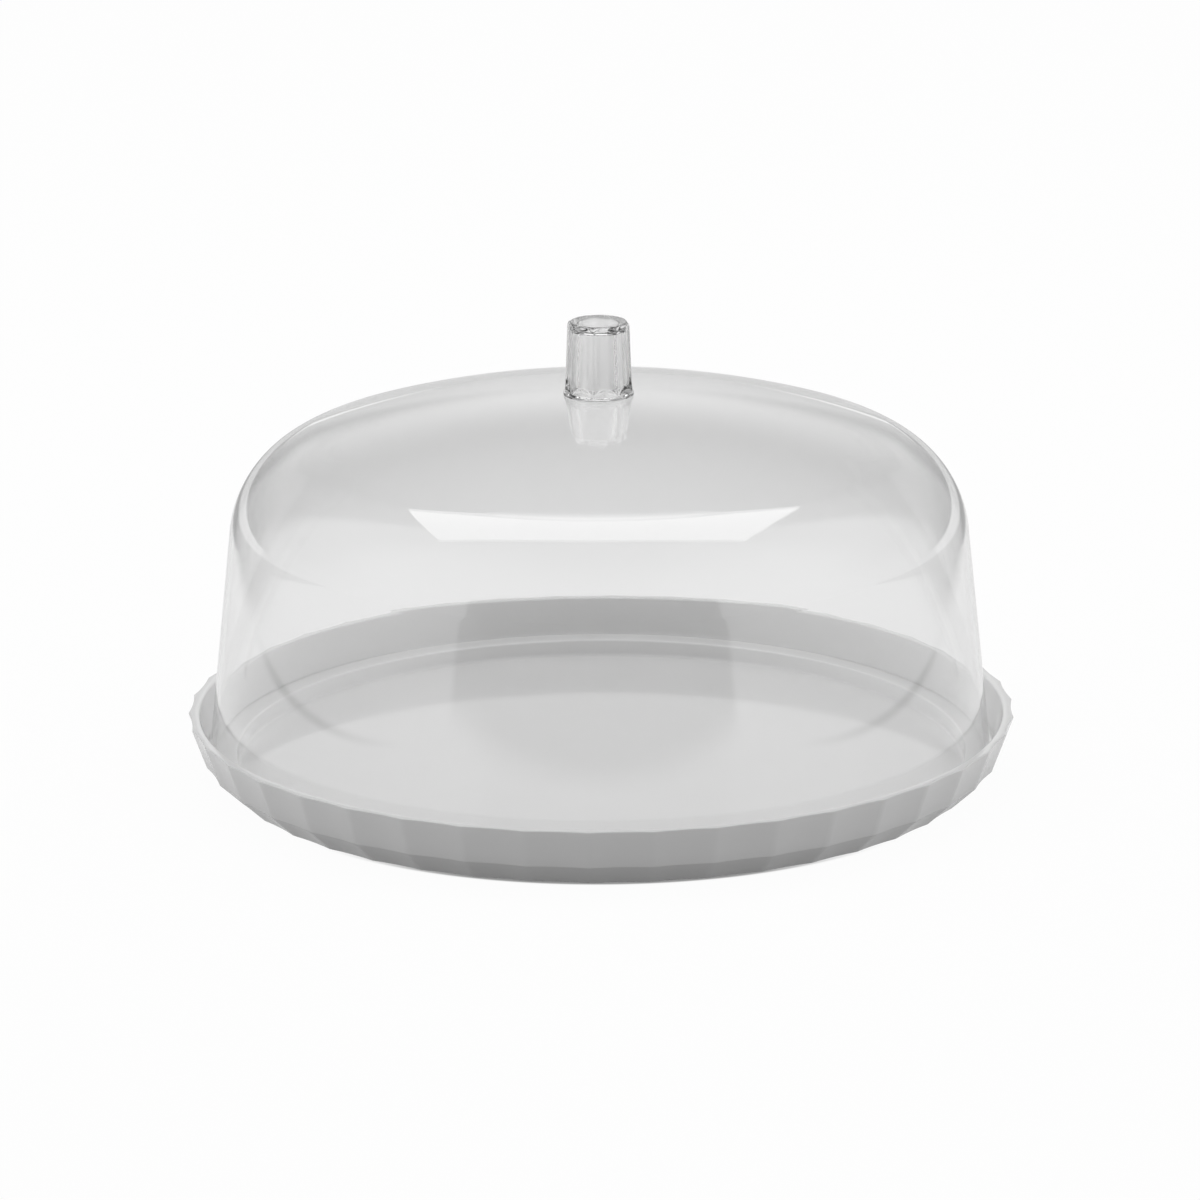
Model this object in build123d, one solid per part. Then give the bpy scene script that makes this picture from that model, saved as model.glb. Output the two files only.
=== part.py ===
from build123d import *
import os
from math import cos, hypot, pi, radians, sin, sqrt

# Covered cake tray: a low fluted tray, a clear dome that stands on a seat inside the tray's rim, and a
# clear hollow knob on the dome's crown. Millimetres, +Z up, front towards -Y. The origin is the centre
# of the foot ring, on the surface that the tray stands on.

# Dome
dome_radius = 170.4            # outer radius at the bottom edge
dome_height = 156.9            # bottom edge to the top of the crown
dome_wall = 2.5
dome_lean = 6.1                # degrees the wall leans in as it rises
crown_radius = 410.0           # radius of the low crown
shoulder_radius = 45.0         # radius of the round shoulder between wall and crown
edge_round = 0.8               # rounding of the bottom edge

# Tray, inside
seat_clearance = 0.8           # air between the dome's edge and the wall round the seat
seat_width = 12.3              # width of the ledge that the dome stands on
floor_thickness = 3.0
floor_step = 7.0               # height of the seat above the floor
step_run = 0.3                 # how far the steep step leans inwards
rim_rise = 16.5                # height of the rim above the seat
rim_flare = 4.1                # how far the inner wall leans out as it rises
land_width = 4.7               # flat land on top of the rim, measured at a cusp
inner_round = 1.2              # rounding of the land's inner edge
seat_cove = 0.8                # cove where the seat meets the wall
step_round = 0.8               # rounding of the seat's inner edge
floor_cove = 1.2               # cove where the step meets the floor

# Tray, outside
flute_count = 42
flute_depth = 1.2              # depth of a flute below the circle of the cusps
flute_turn = -1.73             # degrees from the front to the nearest cusp
band_inset = 6.2               # how far the band leans in from the rim to its lower edge
band_bottom = 10.0             # height of the band's lower edge
foot_inset = 10.8              # how far the slanted foot runs in below the band
rim_bevel = 0.5                # bevel of the rim's outer edge
foot_ring_width = 9.0          # width of the ring that the tray stands on
foot_ring_height = 1.0         # how far the underside is raised inside the ring

# Knob
knob_height = 32.0             # crown to top
knob_radius = 15.2             # foot of the knob
knob_foot_edge = 0.6           # how far the foot ring stands out from the flutes above it
knob_taper = 1.1               # how much narrower the flutes' top is than their foot
knob_flutes = 8
knob_flute_depth = 1.5
knob_turn = -10.0              # degrees from the front to the nearest cusp
knob_foot_height = 1.8         # plain ring under the flutes
knob_top_bevel = 2.4           # rounding of the top edge
knob_wall = 4.3                # foot radius less the cavity's radius
knob_roof = 3.2                # solid top over the cavity
cavity_draft = 1.2             # how much narrower the cavity is at its top

# Places that follow from the sizes above
floor_top = foot_ring_height + floor_thickness
seat_top = floor_top + floor_step
rim_top = seat_top + rim_rise
seat_radius = dome_radius + seat_clearance
land_radius = seat_radius + rim_flare
tray_radius = land_radius + land_width
band_foot_radius = tray_radius - band_inset
foot_radius = band_foot_radius - foot_inset
ledge_radius = seat_radius - seat_width
floor_radius = ledge_radius - step_run
crown_top = seat_top + dome_height


def fluted_outline(radius, depth, count, turn, height):
    """Closed outline with sharp cusps on a circle and a shallow concave arc between each pair."""
    step = 2 * pi / count
    start = -pi / 2 + radians(turn)
    arcs = []
    for index in range(count):
        angles = [start + (index + share) * step for share in (0, 0.5, 1)]
        reaches = [radius, radius - depth, radius]
        points = [(reach * cos(angle), reach * sin(angle), height) for reach, angle in zip(reaches, angles)]
        arcs.append(ThreePointArc(*points))
    return Wire(arcs)


def fluted_solid(sections, count, turn):
    """Straight-sided loft through fluted outlines, each given as (radius, depth, height)."""
    outlines = [fluted_outline(radius, depth, count, turn, height) for radius, depth, height in sections]
    return Solid.make_loft(outlines, ruled=True)


def tray_outside():
    """Slanted foot, leaning band and the bevel of the rim, all with the same flutes."""
    foot_depth = flute_depth * foot_radius / tray_radius
    sections = [
        (foot_radius, foot_depth, 0),
        (band_foot_radius, flute_depth, band_bottom),
        (tray_radius, flute_depth, rim_top - rim_bevel),
        (tray_radius - rim_bevel, flute_depth, rim_top),
    ]
    return fluted_solid(sections, flute_count, flute_turn)


def tray_hollow():
    """The space inside the rim and over its land: flared wall, seat, sloped step and floor."""
    beyond = tray_radius + flute_depth
    above = rim_top + land_width
    corners = Polyline(
        (0, floor_top),
        (floor_radius, floor_top),
        (ledge_radius, seat_top),
        (seat_radius, seat_top),
        (land_radius, rim_top),
        (beyond, rim_top),
        (beyond, above),
        (0, above),
        close=True,
    )
    profile = make_face(Plane.XZ * corners)
    for radius, height, size in (
        (floor_radius, floor_top, floor_cove),
        (ledge_radius, seat_top, step_round),
        (seat_radius, seat_top, seat_cove),
        (land_radius, rim_top, inner_round),
    ):
        corner = profile.vertices().sort_by_distance((radius, 0, height))[0]
        profile = fillet(corner, size)
    return revolve(profile, Axis.Z)


def foot_recess():
    """Raised underside inside the foot ring."""
    reach = foot_radius - foot_ring_width
    return Cylinder(reach, foot_ring_height, align=(Align.CENTER, Align.CENTER, Align.MIN))


def make_tray():
    return tray_outside() - tray_hollow() - foot_recess()


def dome_shell():
    """Crown arc, tangent shoulder arc and straight leaning wall, with an inner face one wall inside."""
    lean = radians(dome_lean)
    outward = (cos(lean), sin(lean))
    upward = (-sin(lean), cos(lean))
    crown_centre = crown_top - crown_radius
    start = (dome_radius - shoulder_radius * outward[0], seat_top - shoulder_radius * outward[1])
    offset = (start[0], start[1] - crown_centre)
    along = offset[0] * upward[0] + offset[1] * upward[1]
    reach = crown_radius - shoulder_radius
    rise = sqrt(along ** 2 - offset[0] ** 2 - offset[1] ** 2 + reach ** 2) - along
    shoulder = (start[0] + rise * upward[0], start[1] + rise * upward[1])
    normal = (shoulder[0] / reach, (shoulder[1] - crown_centre) / reach)
    middle = (outward[0] + normal[0], outward[1] + normal[1])
    size = hypot(*middle)
    middle = (middle[0] / size, middle[1] / size)

    def face_line(inset):
        crown = crown_radius - inset
        round_part = shoulder_radius - inset
        top = (0, crown_centre + crown)
        join = (normal[0] * crown, crown_centre + normal[1] * crown)
        half = (join[0] / 2, crown_centre + sqrt(crown ** 2 - (join[0] / 2) ** 2))
        bend = (shoulder[0] + middle[0] * round_part, shoulder[1] + middle[1] * round_part)
        wall_top = (shoulder[0] + outward[0] * round_part, shoulder[1] + outward[1] * round_part)
        foot = (dome_radius - inset / cos(lean), seat_top)
        return [ThreePointArc(top, half, join), ThreePointArc(join, bend, wall_top), Line(wall_top, foot)]

    outer = face_line(0)
    inner = face_line(dome_wall)
    bottom = Line(outer[2] @ 1, inner[2] @ 1)
    axis_line = Line(inner[0] @ 0, outer[0] @ 0)
    profile = make_face(Plane.XZ * Curve(outer + [bottom] + inner + [axis_line]))
    low_corners = profile.vertices().group_by(Axis.Z)[0]
    return revolve(fillet(low_corners, edge_round), Axis.Z)


def knob_outside():
    """Plain foot ring, tapered flutes above it and a rounded top edge."""
    foot_sag = crown_radius - sqrt(crown_radius ** 2 - knob_radius ** 2)
    foot_low = crown_top - 2 * foot_sag
    foot_height = crown_top + knob_foot_height - foot_low
    top = crown_top + knob_height
    low_radius = knob_radius - knob_foot_edge
    top_radius = low_radius - knob_taper
    part_way = knob_top_bevel * (1 - sqrt(0.5))
    sections = [
        (low_radius, knob_flute_depth, crown_top),
        (top_radius, knob_flute_depth, top - knob_top_bevel),
        (top_radius - part_way, knob_flute_depth, top - part_way),
        (top_radius - knob_top_bevel, knob_flute_depth, top),
    ]
    ring = Cylinder(knob_radius, foot_height, align=(Align.CENTER, Align.CENTER, Align.MIN))
    return fluted_solid(sections, knob_flutes, knob_turn) + Pos(0, 0, foot_low) * ring


def knob_cavity():
    """Tapered blind hole that opens at the foot, with a round end."""
    wide = knob_radius - knob_wall
    narrow = wide - cavity_draft
    low = crown_top - knob_foot_height
    top = crown_top + knob_height - knob_roof
    outline = Polyline((0, top), (0, low), (wide, low), (narrow, top), close=True)
    profile = make_face(Plane.XZ * outline)
    corner = profile.vertices().sort_by_distance((narrow, 0, top))[0]
    return revolve(fillet(corner, cavity_draft), Axis.Z)


def make_knob():
    """The knob's foot is hollowed to the crown's own curve, so it sits flush."""
    crown_ball = Pos(0, 0, crown_top - crown_radius) * Sphere(crown_radius)
    return knob_outside() - knob_cavity() - crown_ball


os.makedirs("parts", exist_ok=True)
pieces = {"tray": make_tray(), "dome": dome_shell(), "knob": make_knob()}
for name, piece in pieces.items():
    piece.label = name
    export_step(piece, f"parts/{name}.step")
    box = piece.bounding_box()
    print(f"{name}: {box.size.X:.1f} x {box.size.Y:.1f} x {box.size.Z:.1f} mm, from {box.min.Z:.2f} up")
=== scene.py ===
import bpy
import numpy as np
from math import cos, radians, sin, sqrt
from mathutils import Matrix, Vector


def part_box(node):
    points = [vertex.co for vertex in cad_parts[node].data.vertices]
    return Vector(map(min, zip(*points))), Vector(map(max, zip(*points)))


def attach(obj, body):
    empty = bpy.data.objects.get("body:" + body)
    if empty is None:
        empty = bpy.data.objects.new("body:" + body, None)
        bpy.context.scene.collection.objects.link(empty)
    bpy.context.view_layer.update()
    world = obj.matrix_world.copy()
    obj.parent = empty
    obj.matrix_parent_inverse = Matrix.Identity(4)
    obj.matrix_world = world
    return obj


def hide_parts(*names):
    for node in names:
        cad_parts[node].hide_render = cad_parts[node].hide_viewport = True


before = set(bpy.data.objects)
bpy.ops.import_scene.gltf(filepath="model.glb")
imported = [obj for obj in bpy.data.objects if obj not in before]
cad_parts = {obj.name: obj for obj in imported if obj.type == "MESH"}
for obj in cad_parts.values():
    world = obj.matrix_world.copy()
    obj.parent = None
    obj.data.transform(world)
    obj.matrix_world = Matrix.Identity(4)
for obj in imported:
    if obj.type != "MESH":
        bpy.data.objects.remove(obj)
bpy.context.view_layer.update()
scene = bpy.context.scene
mm = 0.001    # the scene is in metres

# Heights that the pieces share come from the solids they stand for
trayLow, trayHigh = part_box("tray")
domeLow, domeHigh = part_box("dome")
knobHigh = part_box("knob")[1]
rimTop = trayHigh.z
seatTop = domeLow.z
crownTop = domeHigh.z
knobTop = knobHigh.z


# A path of (radius, height, flute share) rows through corners of (radius, height, rounding, share). At a
# corner the path follows the circle of that rounding that touches both runs. It touches them
# rounding / tan(half the opening) from the corner, and its centre lies rounding / sin(half) along the
# opening's middle. The runs between are divided evenly, and the share goes straight from one to the next.
def roundedPath(corners, spacing, arcStep):
    points = [np.array([corners[0][0], corners[0][1], corners[0][3]])]
    for before, here, after in zip(corners[:-2], corners[1:-1], corners[2:]):
        spot = np.array(here[:2])
        towards = np.array(before[:2]) - spot
        onwards = np.array(after[:2]) - spot
        towards /= np.linalg.norm(towards)
        onwards /= np.linalg.norm(onwards)
        opening = np.arccos(np.clip(towards @ onwards, -1, 1))
        cut = here[2] / np.tan(opening / 2)
        middle = towards + onwards
        centre = spot + middle / np.linalg.norm(middle) * here[2] / np.sin(opening / 2)
        first = spot + towards * cut - centre
        last = spot + onwards * cut - centre
        turn = np.pi - opening
        steps = max(2, int(np.ceil(np.degrees(turn) / arcStep)))
        share = np.linspace(0, 1, steps + 1)[:, None]
        arc = centre + (np.sin((1 - share) * turn) * first + np.sin(share * turn) * last) / np.sin(turn)
        points += [np.array([radius, height, here[3]]) for radius, height in arc]
    points.append(np.array([corners[-1][0], corners[-1][1], corners[-1][3]]))
    path = [points[0][None]]
    for start, end in zip(points[:-1], points[1:]):
        parts = max(1, int(np.ceil(np.linalg.norm((end - start)[:2]) / spacing)))
        path.append(start + (end - start) * np.linspace(0, 1, parts + 1)[1:, None])
    return np.concatenate(path)


# A closed surface round Z: point = (reach cos a, reach sin a, height), with reach and height given at each
# step along a path (rows) and each angle a (columns), counted from turn degrees off the front. The path
# runs from the axis back to the axis, outside first, so that path crossed with angle points outwards. Its
# first and last rows shrink to one point each. Gives the piece and the path row that each face starts at.
def turnedMesh(name, reach, height, turn=0, shift=0):
    rows, columns = reach.shape
    angle = np.arange(columns) * 2 * np.pi / columns - np.pi / 2 + radians(turn)
    ring = np.stack([reach * np.cos(angle), reach * np.sin(angle), height], axis=-1)[1:-1].reshape(-1, 3)
    poles = np.array([[0, 0, height[0].mean()], [0, 0, height[-1].mean()]])
    vertices = np.concatenate([ring, poles]) + np.array([shift, 0, 0])
    row, column = np.meshgrid(np.arange(rows - 3), np.arange(columns), indexing="ij")
    here = row * columns + column
    beside = row * columns + (column + 1) % columns
    quads = np.stack([here, here + columns, beside + columns, beside], axis=-1).reshape(-1, 4)
    spin = np.arange(columns)
    ahead = (spin + 1) % columns
    lastRow = (rows - 3) * columns
    firstFan = np.stack([np.full(columns, len(ring)), spin, ahead], axis=-1)
    lastFan = np.stack([lastRow + spin, np.full(columns, len(ring) + 1), lastRow + ahead], axis=-1)
    faces = quads.tolist() + firstFan.tolist() + lastFan.tolist()
    mesh = bpy.data.meshes.new(name)
    mesh.from_pydata(vertices.tolist(), [], faces)
    mesh.polygons.foreach_set("use_smooth", np.ones(len(faces), dtype=bool))
    mesh.update()
    piece = bpy.data.objects.new(name, mesh)
    scene.collection.objects.link(piece)
    faceRow = np.concatenate([
        np.repeat(np.arange(1, rows - 2), columns),
        np.zeros(columns),
        np.full(columns, rows - 2),
    ])
    return piece, faceRow.astype(int)


# 0 at each cusp and 1 in the middle of each flute: the parabola w = 4u(1 - u) of a shallow concave arc,
# with its cusp blunted by sqrt(w * w + s * s) - s. The first column is a cusp.
def fluteWave(columns, count, softness):
    share = (np.arange(columns) * count / columns) % 1.0
    wave = 4 * share * (1 - share)
    return (np.sqrt(wave ** 2 + softness ** 2) - softness) / (np.sqrt(1 + softness ** 2) - softness)


trayShape = {
    "rimRadius": 180.0 * mm,    # circle through the cusps
    "flutes": 42,
    "fluteDepth": 1.2 * mm,
    "turn": -1.73,              # degrees from the front to the nearest cusp
    "cuspSoftness": 0.03,
    "columnsPerFlute": 14,
    "pathSpacing": 5.0 * mm,
    "arcStep": 15.0,            # degrees
    "landWidth": 4.7 * mm,      # flat top of the rim
    "rimFlare": 4.1 * mm,       # how far the inner wall leans out
    "seatWidth": 12.3 * mm,     # ledge that the cover stands on
    "stepRun": 0.3 * mm,        # how far the steep step leans inwards
    "floorStep": 7.0 * mm,      # height of the seat above the floor
    "bandInset": 6.2 * mm,      # how far the band leans in from the rim to its lower edge
    "bandBottom": 10.0 * mm,
    "footInset": 10.8 * mm,     # how far the slanted foot runs in below the band
    "footRing": 9.0 * mm,       # width of the ring that the tray stands on
    "footRecess": 1.0 * mm,     # how far the underside is raised inside it
    "rimRound": 0.5 * mm,
    "landRound": 1.2 * mm,
    "seatCove": 1.4 * mm,
    "stepRound": 1.0 * mm,
    "floorCove": 1.5 * mm,
    "bandRound": 0.8 * mm,
    "footRound": 0.2 * mm,
    "ringRound": 0.4 * mm,
}


# Path: floor, step, seat, flared wall, land, band, slanted foot, foot ring, underside. The radius is the
# path's own, less the flute depth times the flute wave where the path is fluted (share 1).
def makeTray(shape):
    rim = shape["rimRadius"]
    land = rim - shape["landWidth"]
    seat = land - shape["rimFlare"]
    ledge = seat - shape["seatWidth"]
    floor = ledge - shape["stepRun"]
    floorTop = seatTop - shape["floorStep"]
    band = rim - shape["bandInset"]
    foot = band - shape["footInset"]
    ring = foot - shape["footRing"]
    base = trayLow.z
    underside = base + shape["footRecess"]
    sharpRim = rim + shape["rimRound"] / 3    # a little out, because its rounding draws the cusps in
    corners = [
        (0, floorTop, 0, 0),
        (floor, floorTop, shape["floorCove"], 0),
        (ledge, seatTop, shape["stepRound"], 0),
        (seat, seatTop, shape["seatCove"], 0),
        (land, rimTop, shape["landRound"], 0),
        (sharpRim, rimTop, shape["rimRound"], 1),
        (band, base + shape["bandBottom"], shape["bandRound"], 1),
        (foot, base, shape["footRound"], foot / rim),
        (ring, base, shape["ringRound"], 0),
        (ring, underside, shape["ringRound"], 0),
        (0, underside, 0, 0),
    ]
    path = roundedPath(corners, shape["pathSpacing"], shape["arcStep"])
    columns = shape["flutes"] * shape["columnsPerFlute"]
    wave = fluteWave(columns, shape["flutes"], shape["cuspSoftness"])
    reach = path[:, :1] - shape["fluteDepth"] * path[:, 2:] * wave
    height = np.repeat(path[:, 1:2], columns, axis=1)
    return turnedMesh("serving_tray", reach, height, shape["turn"])[0]


coverShift = -0.5 * mm         # the loose cover stands this far to the left in its seat

domeShape = {
    "edgeRadius": 170.4 * mm,
    "wall": 2.5 * mm,
    "lean": 6.1,                # degrees that the wall leans in as it rises
    "crownRadius": 410.0 * mm,
    "shoulderRadius": 45.0 * mm,
    "edgeRound": 0.8 * mm,
    "crownRows": 40,
    "shoulderRows": 30,
    "wallSpacing": 6.0 * mm,
    "edgeArcStep": 12.0,        # degrees
    "columns": 288,
}


# One face of the dome, from the axis down to the edge: crown arc, tangent shoulder arc, leaning wall. The
# shoulder's centre lies where the line one shoulder radius inside the wall meets the circle round the
# crown's centre whose radius is crown less shoulder.
def domeFace(shape, inset):
    lean = radians(shape["lean"])
    outward = np.array([cos(lean), sin(lean)])
    upward = np.array([-sin(lean), cos(lean)])
    crownCentre = np.array([0, crownTop - shape["crownRadius"]])
    reach = shape["crownRadius"] - shape["shoulderRadius"]
    start = np.array([shape["edgeRadius"], seatTop]) - shape["shoulderRadius"] * outward
    offset = start - crownCentre
    along = offset @ upward
    rise = sqrt(along ** 2 - offset @ offset + reach ** 2) - along
    shoulder = start + rise * upward
    joinAngle = np.arcsin(shoulder[0] / reach)
    crownArc = np.linspace(0, joinAngle, shape["crownRows"])[:, None]
    shoulderArc = np.linspace(joinAngle, np.pi / 2 - lean, shape["shoulderRows"])[1:, None]
    crownReach = shape["crownRadius"] - inset
    bendReach = shape["shoulderRadius"] - inset
    crown = crownCentre + crownReach * np.hstack([np.sin(crownArc), np.cos(crownArc)])
    bend = shoulder + bendReach * np.hstack([np.sin(shoulderArc), np.cos(shoulderArc)])
    foot = np.array([shape["edgeRadius"] - inset / cos(lean), seatTop])
    return np.concatenate([crown, bend]), foot


# Path: outer face down, rounded edge, inner face up. Radius and height don't change round the axis.
def makeDome(shape):
    outer, outerFoot = domeFace(shape, 0)
    inner, innerFoot = domeFace(shape, shape["wall"])
    edge = roundedPath([
        (*outer[-1], 0, 0),
        (*outerFoot, shape["edgeRound"], 0),
        (*innerFoot, shape["edgeRound"], 0),
        (*inner[-1], 0, 0),
    ], shape["wallSpacing"], shape["edgeArcStep"])[:, :2]
    path = np.concatenate([outer[:-1], edge, inner[-2::-1]])
    grid = np.repeat(path[:, :, None], shape["columns"], axis=2)
    return turnedMesh("clear_dome", grid[:, 0], grid[:, 1], shift=coverShift)[0]


knobShape = {
    "footRadius": 15.2 * mm,
    "bodyRadius": 14.6 * mm,
    "topRadius": 13.5 * mm,
    "flutes": 8,
    "fluteDepth": 1.5 * mm,
    "turn": -10.0,              # degrees from the front to the nearest cusp
    "cuspSoftness": 0.05,
    "columnsPerFlute": 28,
    "pathSpacing": 0.42 * mm,
    "arcStep": 9.0,             # degrees
    "footHeight": 1.4 * mm,
    "shelfRise": 0.2 * mm,      # slope from the foot ring's edge up to the body: above footHeight
    "shelfDrop": 0.4 * mm,      # and below it
    "shelfRound": 0.3 * mm,
    "footRound": 0.3 * mm,
    "archHeight": 3.0 * mm,     # how much higher a flute starts in its middle than at its cusps
    "archSoftness": 0.9 * mm,   # height over which it gets its full depth
    "topRound": 2.0 * mm,
    "wall": 4.3 * mm,
    "roof": 3.2 * mm,
    "draft": 1.2 * mm,          # how much narrower the bore is at its top
    "boreRound": 1.44 * mm,
    "clearFoot": 2.4 * mm,      # how far above footHeight the matt part of the bore starts
    "clearRoof": 1.2 * mm,      # and how far below the roof it ends
    "gap": 0.06 * mm,           # air under the foot
}


# Path: top, rounded edge, tapered side, foot, bore. The side loses the flute depth times the flute wave. A
# flute starts at an arch, archHeight times the wave above the foot, eased in by e * e * (3 - 2e), and dies
# out over the rounded top edge as f * (2 - f). The foot follows the crown's own curve.
def makeKnob(shape):
    crownRadius = domeShape["crownRadius"]
    foot, body, top = shape["footRadius"], shape["bodyRadius"], shape["topRadius"]
    bore = foot - shape["wall"]
    boreTop = bore - shape["draft"]
    roof = knobTop - shape["roof"]
    ring = crownTop + shape["footHeight"]

    def underside(radius):
        return crownTop - crownRadius + sqrt(crownRadius ** 2 - radius ** 2) + shape["gap"]

    corners = [
        (0, knobTop, 0, 1),
        (top, knobTop, shape["topRound"], 1),
        (body, ring + shape["shelfRise"], shape["shelfRound"], 1),
        (foot, ring - shape["shelfDrop"], shape["shelfRound"], 1),
        (foot, underside(foot), shape["footRound"], 1),
        (bore, underside(bore), shape["footRound"], 0),
        (boreTop, roof, shape["boreRound"], 0),
        (0, roof, 0, 0),
    ]
    path = roundedPath(corners, shape["pathSpacing"], shape["arcStep"])
    columns = shape["flutes"] * shape["columnsPerFlute"]
    wave = fluteWave(columns, shape["flutes"], shape["cuspSoftness"])
    radius, height, share = path[:, :1], path[:, 1:2], path[:, 2:]
    start = ring + shape["archHeight"] * wave
    ease = np.clip((height - start) / shape["archSoftness"] + 0.5, 0, 1)
    fade = np.clip((knobTop - height) / shape["topRound"], 0, 1)
    depth = shape["fluteDepth"] * wave * ease * ease * (3 - 2 * ease) * fade * (2 - fade) * (share > 0)
    inBore = share[:, 0] == 0
    underRoof = height[:, 0] < roof - shape["clearRoof"]
    overFoot = height[:, 0] > ring + shape["clearFoot"]
    matt = inBore & underRoof & overFoot
    height = np.repeat(height, columns, axis=1)
    knob, faceRow = turnedMesh("knob_grip", radius - depth, height, shape["turn"], coverShift)
    knob.data.polygons.foreach_set("material_index", matt[faceRow].astype(np.int32))
    return knob


# Linear colour of an sRGB hex code: c / 12.92 for a dark channel, and otherwise ((c + 0.055) / 1.055) ^ 2.4
def toLinear(code):
    parts = [int(code[i:i + 2], 16) / 255 for i in (1, 3, 5)]
    return [p / 12.92 if p <= 0.04045 else ((p + 0.055) / 1.055) ** 2.4 for p in parts] + [1.0]


# Adds a node with its settings and inputs. An input is a number or colour, a socket, or a node, which
# stands for its first output.
def addNode(tree, kind, inputs=None, **settings):
    node = tree.nodes.new(kind)
    for name, value in settings.items():
        setattr(node, name, value)
    for name, value in (inputs or {}).items():
        if isinstance(value, bpy.types.Node):
            value = value.outputs[0]
        if isinstance(value, bpy.types.NodeSocket):
            tree.links.new(value, node.inputs[name])
        else:
            node.inputs[name].default_value = value
    return node


def newMaterial(name):
    material = bpy.data.materials.new(name)
    material.use_nodes = True
    material.node_tree.nodes.clear()
    return material, material.node_tree


trayFinish = {
    "colour": "#DCDCDC",
    "mottled": "#D8D8D8",
    "roughness": 0.05,
    "roughnessSpread": 0.04,
    "ior": 1.53,
    "mottleSize": 45.0,         # millimetres
    "mottleRange": (0.3, 0.7),  # values of the mottling between which the roughness spreads
    "rippleSize": 7.0,          # millimetres
    "rippleHeight": 0.004,      # millimetres
}


# ABS, injection moulded in a polished mould: an even opaque grey with a gloss, whose reflections show the
# faint long ripple and the slight mottling of moulded plastic
def mouldedPlastic(look):
    material, tree = newMaterial("moulded_abs_grey")
    place = addNode(tree, "ShaderNodeTexCoord")
    mottle = addNode(tree, "ShaderNodeTexNoise", {
        "Vector": place.outputs["Object"], "Scale": 1 / (look["mottleSize"] * mm), "Detail": 3.0,
    })
    colour = addNode(tree, "ShaderNodeMix", {
        0: mottle, 6: toLinear(look["colour"]), 7: toLinear(look["mottled"]),
    }, data_type="RGBA")
    gloss = addNode(tree, "ShaderNodeMapRange", {
        "Value": mottle, "From Min": look["mottleRange"][0], "From Max": look["mottleRange"][1],
        "To Min": look["roughness"], "To Max": look["roughness"] + look["roughnessSpread"],
    })
    ripple = addNode(tree, "ShaderNodeTexNoise", {
        "Vector": place.outputs["Object"], "Scale": 1 / (look["rippleSize"] * mm), "Detail": 1.0,
    })
    bump = addNode(tree, "ShaderNodeBump", {
        "Height": ripple, "Strength": 1.0, "Distance": look["rippleHeight"] * mm,
    })
    shader = addNode(tree, "ShaderNodeBsdfPrincipled", {
        "Base Color": colour.outputs[2], "Roughness": gloss, "IOR": look["ior"], "Normal": bump,
    })
    addNode(tree, "ShaderNodeOutputMaterial", {"Surface": shader})
    return material


clearFinish = {
    "colour": "#F9F9F9",
    "through": "#FAFAFA",       # what one face lets through of the light on the things behind it
    "roughness": 0.0,
    "roughnessSpread": 0.02,
    "transmission": 1.0,
    "ior": 1.57,
    "flowSize": 60.0,           # millimetres
    "flowRange": (0.4, 0.8),    # values of the flow pattern between which the roughness spreads
    "flowHeight": 0.01,         # millimetres
}
knobFinish = dict(clearFinish, colour="#FFFFFF")

# The knob's bore has the matt face that the core pin left on it
boreFinish = dict(knobFinish, transmission=0.9, roughness=0.36, roughnessSpread=0.06)


# SAN, injection moulded, clear as glass and colourless: sharp reflections that waver a little, because
# the plastic froze while it still flowed. Shadows and soft light pass straight through it.
def clearPlastic(look, name):
    material, tree = newMaterial(name)
    place = addNode(tree, "ShaderNodeTexCoord")
    flow = addNode(tree, "ShaderNodeTexNoise", {
        "Vector": place.outputs["Object"], "Scale": 1 / (look["flowSize"] * mm), "Detail": 1.0,
    })
    gloss = addNode(tree, "ShaderNodeMapRange", {
        "Value": flow, "From Min": look["flowRange"][0], "From Max": look["flowRange"][1],
        "To Min": look["roughness"], "To Max": look["roughness"] + look["roughnessSpread"],
    })
    bump = addNode(tree, "ShaderNodeBump", {
        "Height": flow, "Strength": 1.0, "Distance": look["flowHeight"] * mm,
    })
    shader = addNode(tree, "ShaderNodeBsdfPrincipled", {
        "Base Color": toLinear(look["colour"]), "Roughness": gloss, "IOR": look["ior"],
        "Transmission Weight": look["transmission"], "Normal": bump,
    })
    path = addNode(tree, "ShaderNodeLightPath")
    soft = addNode(tree, "ShaderNodeMath", {
        0: path.outputs["Is Shadow Ray"], 1: path.outputs["Is Diffuse Ray"],
    }, operation="MAXIMUM")
    through = addNode(tree, "ShaderNodeBsdfTransparent", {"Color": toLinear(look["through"])})
    mixed = addNode(tree, "ShaderNodeMixShader", {0: soft, 1: shader, 2: through})
    addNode(tree, "ShaderNodeOutputMaterial", {"Surface": mixed})
    return material


# One flat face through four corners given in order round it
def flatPiece(name, corners):
    mesh = bpy.data.meshes.new(name)
    mesh.from_pydata(corners, [], [(0, 1, 2, 3)])
    piece = bpy.data.objects.new(name, mesh)
    scene.collection.objects.link(piece)
    return piece


sectorLook = {
    "slope": 0.81,              # half the dark sector's width in front, by its distance
    "lean": 0.055,              # how far it leans to the left, by its distance
    "level": 0.2,               # share of its light that it keeps
}


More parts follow.
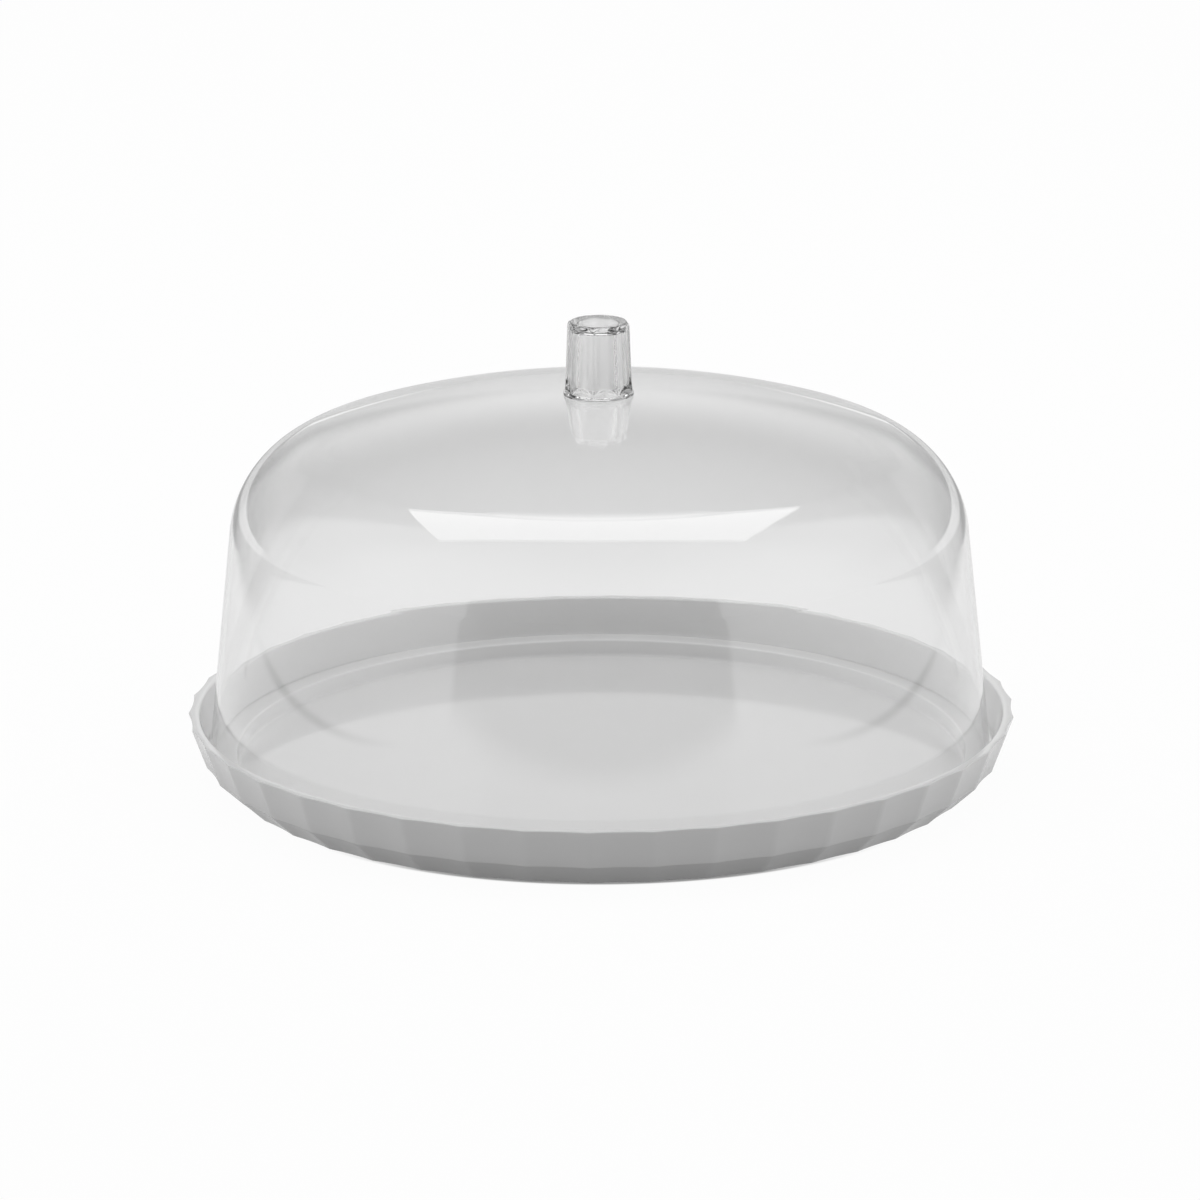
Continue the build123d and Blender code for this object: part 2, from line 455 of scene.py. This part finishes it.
# 1 in the dark sector of the studio that opens towards the front, 0 beside it. Its edges are where
# |x - lean y| + slope y is 0, and it fades within edge of that.
def frontSector(tree, x, y, look, edge):
    aside = addNode(tree, "ShaderNodeMath", {0: y, 1: -look["lean"], 2: x}, operation="MULTIPLY_ADD")
    off = addNode(tree, "ShaderNodeMath", {0: aside}, operation="ABSOLUTE")
    past = addNode(tree, "ShaderNodeMath", {0: y, 1: look["slope"], 2: off}, operation="MULTIPLY_ADD")
    return addNode(tree, "ShaderNodeMapRange", {
        "Value": past, "From Min": edge, "From Max": -edge,
    }, interpolation_type="SMOOTHSTEP")


# Pairs are the places between which a change runs, in metres: radii, or else x or y
tableLook = {
    "size": 30.0,               # metres
    "drop": 0.2 * mm,           # how far the table lies under the foot
    "colour": "#8C8C8C",
    "white": 1.07,              # level that the camera sees
    "pale": 0.92,               # the same as seen through the dome and in reflections, by white
    "whiteShare": 0.9,          # the rest is lit, and keeps the shadow
    # The painted contact shadow on the floor under the foot, as the camera sees it
    "footLine": (0.1652, 0.1628),   # radii where the camera sees the floor darken under the foot's edge, a painted contact shadow
    "paintedFootShadowEnds": (0.125, 0.05),  # and |x| where that fades in
    "footLineLevel": 0.30,
    "contact": (0.195, 0.165),  # radii where reflections darken into the tray's own shade
    "contactLevel": 0.62,
    "side": 0.485,              # half the width of the table that reflections show, metres
    "seam": (0.028, 0.0),       # how far from its side edges the dark line along them starts, and is full
    "seamStart": (-0.42, -0.10),    # y where that line starts
    "seamStop": (0.22, 0.0),    # and where it ends
    "seamDepth": 0.85,          # share of the light that it takes
    "corner": (0.95, 1.15),     # y where the far corners darken, at x = 0
    "slant": 1.7,               # how much nearer that is by distance from x = 0
    "cornerStart": (0.15, 0.30),    # y where they start at the soonest
    "cornerStop": (1.10, 0.80),     # and where they end
    "cornerDepth": 0.5,         # share of the light that they take
    "far": (0.95, 1.20),        # y where the far end darkens
    "farLevel": 0.85,
    "front": (-0.55, -0.80),    # y where the dark sector in front starts
    "frontEdge": 0.03,          # metres within which its sides fade
}


# How bright the table looks in reflections: 1 near the object, and less at the far end and in the tray's
# shade. The far corners, the seam along both side edges and the dark sector in front take light away, each
# as the product of its smooth steps.
def aboutTable(tree, x, y, across, radius, look):
    slant = addNode(tree, "ShaderNodeMath", {0: across, 1: look["slant"], 2: y}, operation="MULTIPLY_ADD")
    past = addNode(tree, "ShaderNodeMath", {0: across, 1: look["side"]}, operation="SUBTRACT")
    offSeam = addNode(tree, "ShaderNodeMath", {0: past}, operation="ABSOLUTE")
    step = {"sector": frontSector(tree, x, y, sectorLook, look["frontEdge"])}
    for name, value, first, last in (
        ("corner", slant, 0.0, look["cornerDepth"]),
        ("cornerStart", y, 0.0, 1.0),
        ("cornerStop", y, 0.0, 1.0),
        ("seam", offSeam, 0.0, look["seamDepth"]),
        ("seamStart", y, 0.0, 1.0),
        ("seamStop", y, 0.0, 1.0),
        ("front", y, 0.0, 1 - sectorLook["level"]),
        ("far", y, 1.0, look["farLevel"]),
        ("contact", radius, 1.0, look["contactLevel"]),
    ):
        step[name] = addNode(tree, "ShaderNodeMapRange", {
            "Value": value, "From Min": look[name][0], "From Max": look[name][1],
            "To Min": first, "To Max": last,
        }, interpolation_type="SMOOTHSTEP")
    losses = []
    for name, *others in (
        ("corner", "cornerStart", "cornerStop"),
        ("seam", "seamStart", "seamStop"),
        ("sector", "front"),
    ):
        loss = step[name]
        for other in others:
            loss = addNode(tree, "ShaderNodeMath", {0: loss, 1: step[other]}, operation="MULTIPLY")
        losses.append(loss)
    corner, seam, sector = losses
    level = addNode(tree, "ShaderNodeMath", {0: step["far"], 1: corner}, operation="SUBTRACT")
    level = addNode(tree, "ShaderNodeMath", {0: level, 1: step["contact"]}, operation="MULTIPLY")
    for loss in (seam, sector):
        kept = addNode(tree, "ShaderNodeMath", {0: 1.0, 1: loss}, operation="SUBTRACT")
        level = addNode(tree, "ShaderNodeMath", {0: level, 1: kept}, operation="MULTIPLY")
    return level


# A pale table, white behind the object, which keeps the object's shadow. The camera sees it white with a
# painted shadow line under the foot's edge, while reflections and the view through the dome have
# aboutTable's level.
def makeFloor(look):
    half = look["size"] / 2
    z = trayLow.z - look["drop"]
    floor = flatPiece("floor", [(-half, -half, z), (half, -half, z), (half, half, z), (-half, half, z)])
    material, tree = newMaterial("white_table")
    place = addNode(tree, "ShaderNodeTexCoord")
    spot = addNode(tree, "ShaderNodeSeparateXYZ", {0: place.outputs["Object"]})
    x, y = spot.outputs["X"], spot.outputs["Y"]
    across = addNode(tree, "ShaderNodeMath", {0: x}, operation="ABSOLUTE")
    xSquared = addNode(tree, "ShaderNodeMath", {0: x, 1: x}, operation="MULTIPLY")
    squares = addNode(tree, "ShaderNodeMath", {0: y, 1: y, 2: xSquared}, operation="MULTIPLY_ADD")
    radius = addNode(tree, "ShaderNodeMath", {0: squares}, operation="SQRT")
    path = addNode(tree, "ShaderNodeLightPath")
    camera = path.outputs["Is Camera Ray"]

    # Painted contact shadow: to the camera the floor darkens in a thin ring just outside the foot, fading
    # out towards the sides
    shadowRing = addNode(tree, "ShaderNodeMapRange", {
        "Value": radius, "From Min": look["footLine"][0], "From Max": look["footLine"][1],
        "To Max": 1 - look["footLineLevel"],
    }, interpolation_type="SMOOTHSTEP")
    shadowEnds = addNode(tree, "ShaderNodeMapRange", {
        "Value": across, "From Min": look["paintedFootShadowEnds"][0], "From Max": look["paintedFootShadowEnds"][1],
    }, interpolation_type="SMOOTHSTEP")
    line = addNode(tree, "ShaderNodeMath", {0: shadowRing, 1: shadowEnds}, operation="MULTIPLY")
    outsideFootShadow = addNode(tree, "ShaderNodeMath", {0: 1.0, 1: line}, operation="SUBTRACT")
    toCamera = addNode(tree, "ShaderNodeMath", {0: camera, 1: outsideFootShadow}, operation="MULTIPLY")
    table = aboutTable(tree, x, y, across, radius, look)
    pale = addNode(tree, "ShaderNodeMath", {0: table, 1: look["pale"]}, operation="MULTIPLY")
    notCamera = addNode(tree, "ShaderNodeMath", {0: 1.0, 1: camera}, operation="SUBTRACT")
    toOthers = addNode(tree, "ShaderNodeMath", {0: pale, 1: notCamera}, operation="MULTIPLY")
    level = addNode(tree, "ShaderNodeMath", {0: toCamera, 1: toOthers}, operation="MAXIMUM")
    strength = addNode(tree, "ShaderNodeMath", {0: level, 1: look["white"]}, operation="MULTIPLY")

    # The camera, gloss and clear plastic see the white table before any diffuse bounce, and the rest sees
    # it lit
    direct = addNode(tree, "ShaderNodeMath", {
        0: path.outputs["Diffuse Depth"], 1: 0.5,
    }, operation="LESS_THAN")
    sharp = addNode(tree, "ShaderNodeMath", {
        0: path.outputs["Is Glossy Ray"], 1: path.outputs["Is Transmission Ray"],
    }, operation="MAXIMUM")
    seen = addNode(tree, "ShaderNodeMath", {0: camera, 1: sharp}, operation="MAXIMUM")
    shown = addNode(tree, "ShaderNodeMath", {0: seen, 1: direct}, operation="MULTIPLY")
    share = addNode(tree, "ShaderNodeMath", {0: shown, 1: look["whiteShare"]}, operation="MULTIPLY")
    lit = addNode(tree, "ShaderNodeBsdfDiffuse", {"Color": toLinear(look["colour"])})
    white = addNode(tree, "ShaderNodeEmission", {"Color": toLinear("#FFFFFF"), "Strength": strength})
    mixed = addNode(tree, "ShaderNodeMixShader", {0: share, 1: lit, 2: white})
    addNode(tree, "ShaderNodeOutputMaterial", {"Surface": mixed})
    floor.data.materials.append(material)


# Pairs are the places between which a change runs. A height is its sine, 0 at the horizon and 1 straight
# up. A direction is its cosine, 1 straight behind the object and -1 straight in front.
studioLook = {
    "fill": 0.925,              # level that lights the object
    "sideFill": 1.5,            # how much more of it comes from the sides
    "lowFill": 0.6,             # how much less of it comes from above
    "low": 0.95,                # level of the studio at the horizon, seen in reflections
    "drop": 0.47,               # how much less straight up
    "sides": (-0.30, 0.30),     # directions where the sides darken towards the back
    "sideHeight": (0.05, 0.33),     # heights where they darken to the full
    "sideDrop": (0.19, 0.38),   # share of the light that they lose, low and high
    "behind": (0.50, 0.68),     # directions where the backdrop takes over
    "backdrop": 0.74,           # level of the backdrop behind the object, seen in reflections
    "backdropTop": 0.14,        # its level above
    "backdropFade": (0.50, 0.24),   # heights
    "backdropEdge": (0.68, 0.05),   # sines of the angle from straight behind where it starts and is full
    "overhead": 0.35,           # glow high behind
    "overheadFade": (0.85, 0.99),   # heights
    "frontTop": (0.527, 0.503),     # heights where the dark sector in front starts
    "frontBow": 0.55,           # how much lower that is to the sides, by x squared
    "frontEdge": 0.02,          # sine within which its sides fade
}


# White to the camera, and an even level to all that the object is lit by: 1 + sideFill x^2 - lowFill z^2,
# less (sideFill - lowFill) / 4, which keeps its mean near 1. To reflections it is a studio,
# low - drop z^4, with darker sides, a backdrop behind the object that fades out above, and the dark sector
# in front.
def makeWorld(look):
    world = bpy.data.worlds.new("studio")
    world.use_nodes = True
    tree = world.node_tree
    tree.nodes.clear()
    path = addNode(tree, "ShaderNodeLightPath")
    place = addNode(tree, "ShaderNodeTexCoord")
    towards = addNode(tree, "ShaderNodeSeparateXYZ", {0: place.outputs["Generated"]})
    x, y, z = towards.outputs["X"], towards.outputs["Y"], towards.outputs["Z"]
    xSquared = addNode(tree, "ShaderNodeMath", {0: x, 1: x}, operation="MULTIPLY")
    zSquared = addNode(tree, "ShaderNodeMath", {0: z, 1: z}, operation="MULTIPLY")
    zFourth = addNode(tree, "ShaderNodeMath", {0: zSquared, 1: zSquared}, operation="MULTIPLY")
    squares = addNode(tree, "ShaderNodeMath", {0: y, 1: y, 2: xSquared}, operation="MULTIPLY_ADD")
    reach = addNode(tree, "ShaderNodeMath", {0: squares}, operation="SQRT")
    away = addNode(tree, "ShaderNodeMath", {0: y, 1: reach}, operation="DIVIDE")
    beside = addNode(tree, "ShaderNodeMath", {0: x, 1: reach}, operation="DIVIDE")
    aside = addNode(tree, "ShaderNodeMath", {0: beside}, operation="ABSOLUTE")
    overBow = addNode(tree, "ShaderNodeMath", {
        0: xSquared, 1: look["frontBow"], 2: z,
    }, operation="MULTIPLY_ADD")
    step = {}
    for name, value, first, last in (
        ("sides", away, 0.0, 1.0),
        ("sideHeight", z, *look["sideDrop"]),
        ("behind", away, 0.0, 1.0),
        ("backdropFade", z, look["backdropTop"], look["backdrop"]),
        ("overheadFade", z, 0.0, look["overhead"]),
        ("frontTop", overBow, 0.0, 1 - sectorLook["level"]),
    ):
        step[name] = addNode(tree, "ShaderNodeMapRange", {
            "Value": value, "From Min": look[name][0], "From Max": look[name][1],
            "To Min": first, "To Max": last,
        }, interpolation_type="SMOOTHSTEP")

    around = addNode(tree, "ShaderNodeMath", {
        0: zFourth, 1: -look["drop"], 2: look["low"],
    }, operation="MULTIPLY_ADD")
    sideLoss = addNode(tree, "ShaderNodeMath", {
        0: step["sides"], 1: step["sideHeight"],
    }, operation="MULTIPLY")
    sideLevel = addNode(tree, "ShaderNodeMath", {0: 1.0, 1: sideLoss}, operation="SUBTRACT")
    around = addNode(tree, "ShaderNodeMath", {0: around, 1: sideLevel}, operation="MULTIPLY")
    narrow = addNode(tree, "ShaderNodeMapRange", {
        "Value": aside, "From Min": look["backdropEdge"][0], "From Max": look["backdropEdge"][1],
    })
    behind = addNode(tree, "ShaderNodeMath", {
        0: step["backdropFade"], 1: narrow, 2: step["overheadFade"],
    }, operation="MULTIPLY_ADD")
    level = addNode(tree, "ShaderNodeMix", {0: step["behind"], 2: around, 3: behind})
    sector = frontSector(tree, x, y, sectorLook, look["frontEdge"])
    dark = addNode(tree, "ShaderNodeMath", {0: sector, 1: step["frontTop"]}, operation="MULTIPLY")
    besideDark = addNode(tree, "ShaderNodeMath", {0: 1.0, 1: dark}, operation="SUBTRACT")
    level = addNode(tree, "ShaderNodeMath", {0: level, 1: besideDark}, operation="MULTIPLY")

    rest = 1 - (look["sideFill"] - look["lowFill"]) / 4
    shares = addNode(tree, "ShaderNodeMath", {
        0: xSquared, 1: look["sideFill"], 2: rest,
    }, operation="MULTIPLY_ADD")
    shares = addNode(tree, "ShaderNodeMath", {
        0: zSquared, 1: -look["lowFill"], 2: shares,
    }, operation="MULTIPLY_ADD")
    lighting = addNode(tree, "ShaderNodeMath", {0: shares, 1: look["fill"]}, operation="MULTIPLY")

    plain = toLinear("#FFFFFF")
    studio = addNode(tree, "ShaderNodeBackground", {"Color": plain, "Strength": level})
    fill = addNode(tree, "ShaderNodeBackground", {"Color": plain, "Strength": lighting})
    white = addNode(tree, "ShaderNodeBackground", {"Color": plain, "Strength": 1.0})
    direct = addNode(tree, "ShaderNodeMath", {
        0: path.outputs["Diffuse Depth"], 1: 0.5,
    }, operation="LESS_THAN")
    sharp = addNode(tree, "ShaderNodeMath", {
        0: path.outputs["Is Glossy Ray"], 1: path.outputs["Is Transmission Ray"],
    }, operation="MAXIMUM")
    share = addNode(tree, "ShaderNodeMath", {0: direct, 1: sharp}, operation="MULTIPLY")
    unseen = addNode(tree, "ShaderNodeMixShader", {0: share, 1: fill, 2: studio})
    mixed = addNode(tree, "ShaderNodeMixShader", {0: path.outputs["Is Camera Ray"], 1: unseen, 2: white})
    addNode(tree, "ShaderNodeOutputWorld", {"Surface": mixed})
    scene.world = world


canopyLook = {
    "low": (-0.20, 0.28),       # x and y of its near left corner, metres
    "high": (0.20, 0.85),       # and of its far right corner
    "height": 0.160,            # metres
    "level": 1.02,
}


# A pale canopy low behind the cover, which glows on its underside alone: the glossy tray mirrors it, and
# the cover's crown, which is higher, doesn't
def makeCanopy(look):
    (x0, y0), (x1, y1) = look["low"], look["high"]
    z = look["height"]
    canopy = flatPiece("low_canopy", [(x0, y0, z), (x0, y1, z), (x1, y1, z), (x1, y0, z)])
    material, tree = newMaterial("canopy_cloth")
    side = addNode(tree, "ShaderNodeNewGeometry")
    glow = addNode(tree, "ShaderNodeEmission", {"Color": toLinear("#FFFFFF"), "Strength": look["level"]})
    clear = addNode(tree, "ShaderNodeBsdfTransparent")
    mixed = addNode(tree, "ShaderNodeMixShader", {0: side.outputs["Backfacing"], 1: glow, 2: clear})
    addNode(tree, "ShaderNodeOutputMaterial", {"Surface": mixed})
    canopy.data.materials.append(material)
    canopy.visible_camera = False
    canopy.visible_diffuse = False
    canopy.visible_shadow = False


boxLook = {
    "corners": [                # metres: near left, near right, far right, far left
        (-0.59, -0.045, 1.09),
        (0.53, -0.085, 1.09),
        (0.63, 0.995, 1.42),
        (-0.58, 0.98, 1.42),
    ],
    "power": 1.65,
    "farFade": (0.93, 0.78),    # y at x = 0 between which its glow fades in from the far end
    "spread": 1.6,              # how much further back that is to the sides, by x squared
}


# The overhead softbox: it lights the object and shows in the dome, but not to the camera. Towards the far
# end its glow fades by y - spread x^2.
def makeBox(look):
    box = flatPiece("overhead_box", look["corners"])
    material, tree = newMaterial("softbox_cloth")
    place = addNode(tree, "ShaderNodeTexCoord")
    spot = addNode(tree, "ShaderNodeSeparateXYZ", {0: place.outputs["Object"]})
    x, y = spot.outputs["X"], spot.outputs["Y"]
    xSquared = addNode(tree, "ShaderNodeMath", {0: x, 1: x}, operation="MULTIPLY")
    depth = addNode(tree, "ShaderNodeMath", {
        0: xSquared, 1: -look["spread"], 2: y,
    }, operation="MULTIPLY_ADD")
    share = addNode(tree, "ShaderNodeMapRange", {
        "Value": depth, "From Min": look["farFade"][0], "From Max": look["farFade"][1],
    }, interpolation_type="SMOOTHSTEP")
    glow = addNode(tree, "ShaderNodeEmission", {"Color": toLinear("#FFFFFF"), "Strength": look["power"]})
    clear = addNode(tree, "ShaderNodeBsdfTransparent")
    mixed = addNode(tree, "ShaderNodeMixShader", {0: share, 1: clear, 2: glow})
    addNode(tree, "ShaderNodeOutputMaterial", {"Surface": mixed})
    box.data.materials.append(material)
    box.visible_camera = False
    box.visible_shadow = False


view = {
    "focal": 6419.0,            # pixels of the 1200 pixel frame
    "frame": 1200.0,
    "sensor": 36.0,             # millimetres
    "distance": 2.8044,         # metres from the rim's centre
    "rise": 16.85,              # degrees above the rim
    "pitch": 15.91,             # degrees below the horizon
    "roll": -0.24,              # degrees
    "yaw": 0.00625,             # degrees
    "clip": (0.05, 60.0),       # metres
}


# The camera stands straight in front, rise degrees up round the rim's centre, and looks pitch degrees down
def makeCamera(look):
    data = bpy.data.cameras.new("camera")
    camera = bpy.data.objects.new("camera", data)
    scene.collection.objects.link(camera)
    data.sensor_width = look["sensor"]
    data.lens = look["sensor"] * look["focal"] / look["frame"]
    rise = radians(look["rise"])
    camera.location = (0, -look["distance"] * cos(rise), rimTop + look["distance"] * sin(rise))
    yaw = Matrix.Rotation(radians(look["yaw"]), 4, "Z")
    pitch = Matrix.Rotation(radians(90 - look["pitch"]), 4, "X")
    roll = Matrix.Rotation(radians(look["roll"]), 4, "Z")
    camera.rotation_euler = (yaw @ pitch @ roll).to_euler()
    data.clip_start, data.clip_end = look["clip"]
    scene.camera = camera


print("shapes")
tray = makeTray(trayShape)
dome = makeDome(domeShape)
knob = makeKnob(knobShape)
for piece, body, node, slot in (
    (tray, "tray", "tray", "tray_plastic"),
    (dome, "cover", "dome", "clear_plastic"),
    (knob, "cover", "knob", "clear_plastic"),
):
    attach(piece, body)
    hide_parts(node)

print("materials")
tray.data.materials.append(mouldedPlastic(trayFinish))
dome.data.materials.append(clearPlastic(clearFinish, "moulded_san_clear"))
knob.data.materials.append(clearPlastic(knobFinish, "moulded_san_knob"))
knob.data.materials.append(clearPlastic(boreFinish, "matt_san_bore"))

print("stage")
makeFloor(tableLook)
makeWorld(studioLook)
makeCanopy(canopyLook)
makeBox(boxLook)
makeCamera(view)
scene.view_settings.view_transform = "Standard"
